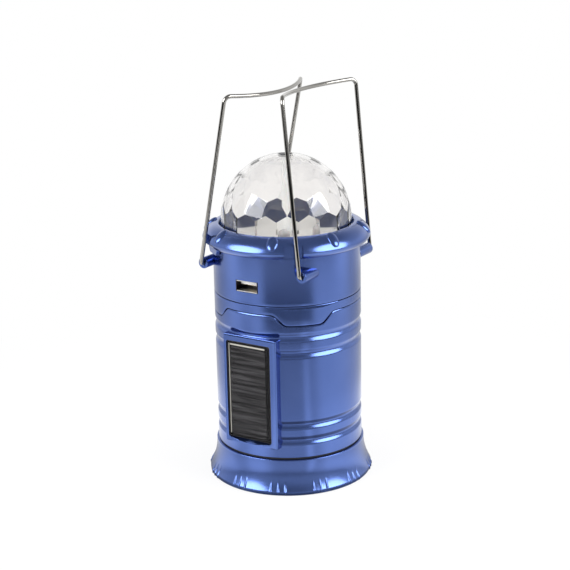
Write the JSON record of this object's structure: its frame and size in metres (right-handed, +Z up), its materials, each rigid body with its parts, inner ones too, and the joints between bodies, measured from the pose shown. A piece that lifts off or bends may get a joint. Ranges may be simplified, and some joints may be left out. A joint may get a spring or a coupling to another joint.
{
  "type": "pull-up camping lantern",
  "caption": "Telescoping camping lantern: ribbed torch foot, solar panel, USB outlet, pull-up light chimney, rotating faceted party dome and folding wire bails.",
  "frame": {"origin": "middle of the foot on the surface it stands on", "axes": "+Z up the lantern's axis, -Y out of the solar panel and USB outlet, bail hinges along Y"},
  "size_m": [0.0878, 0.0878, 0.2078],
  "materials": {
    "blue_plastic": "metallic blue moulded plastic, satin gloss",
    "black_rubber": "black rubber",
    "clear_plastic": "clear polished plastic",
    "party_led": "coloured LED lenses",
    "white_led": "white LED lenses",
    "mirror_coat": "vacuum coated reflector",
    "silver_deck": "silvered deck",
    "circuit_board": "green circuit board",
    "white_board": "white circuit board",
    "solar_cell": "dark solar cells",
    "cell_wrap": "shrink wrapped battery cell",
    "black_plastic": "black plastic",
    "nickel_sheet": "nickel plated sheet",
    "white_plastic": "white plastic",
    "ivory_plastic": "ivory plastic",
    "gold_contact": "gold plated contacts",
    "dark_screw": "blackened screw",
    "motor_can": "plain steel",
    "chrome_wire": "chromed steel wire"
  },
  "bodies": {
    "base": {"base_foot": "blue_plastic", "foot_gasket": "black_rubber", "torch_lens": "clear_plastic", "torch_reflector": "mirror_coat", "torch_led_board": "circuit_board", "torch_led": "white_led", "lower_housing": "blue_plastic", "solar_cells": "solar_cell", "solar_cover": "clear_plastic", "battery": "cell_wrap", "battery_cradle": "black_plastic", "battery_contacts": "nickel_sheet", "charge_board": "circuit_board", "guide_ring": "white_plastic"},
    "upper": {"interlock_sleeve": "blue_plastic", "upper_housing": "blue_plastic", "usb_shell": "nickel_sheet", "usb_tongue": "ivory_plastic", "usb_contacts": "gold_contact", "usb_board": "circuit_board", "chimney": "clear_plastic", "chimney_foot": "white_plastic", "cone_reflector": "mirror_coat", "lamp_board": "white_board", "lamp_leds": "white_led", "rim_ring": "blue_plastic", "dome_deck": "silver_deck", "party_leds": "party_led", "deck_screws": "dark_screw", "motor_mount": "white_plastic", "motor": "motor_can", "button_switch": "black_plastic", "button_board": "circuit_board"},
    "dome": {"dome": "clear_plastic", "dome_post": "white_plastic", "dome_screw": "dark_screw", "motor_shaft": "motor_can"},
    "mode_button": {"mode_button": "black_rubber"},
    "left_bail": {"left_bail": "chrome_wire"},
    "right_bail": {"right_bail": "chrome_wire"}
  },
  "joints": [
    {"name": "pull_up", "type": "slide", "parent": "base", "child": "upper", "axis": [0, 0, 1], "range_m": [0, 0.04]},
    {"name": "dome_spin", "type": "hinge", "parent": "upper", "child": "dome", "pos_m": [0, 0, 0.1377], "axis": [0, 0, 1], "continuous": true},
    {"name": "left_bail_swing", "type": "hinge", "parent": "upper", "child": "left_bail", "pos_m": [-0.0298, 0, 0.1175], "axis": [0, 1, 0], "range_deg": [-189.1, 0.6]},
    {"name": "right_bail_swing", "type": "hinge", "parent": "upper", "child": "right_bail", "pos_m": [0.0298, 0, 0.1175], "axis": [0, -1, 0], "range_deg": [-182.7, 7]},
    {"name": "mode_button_push", "type": "slide", "parent": "upper", "child": "mode_button", "axis": [0, -1, 0], "range_m": [0, 0.001], "stiffness_N_per_m": 600}
  ]
}
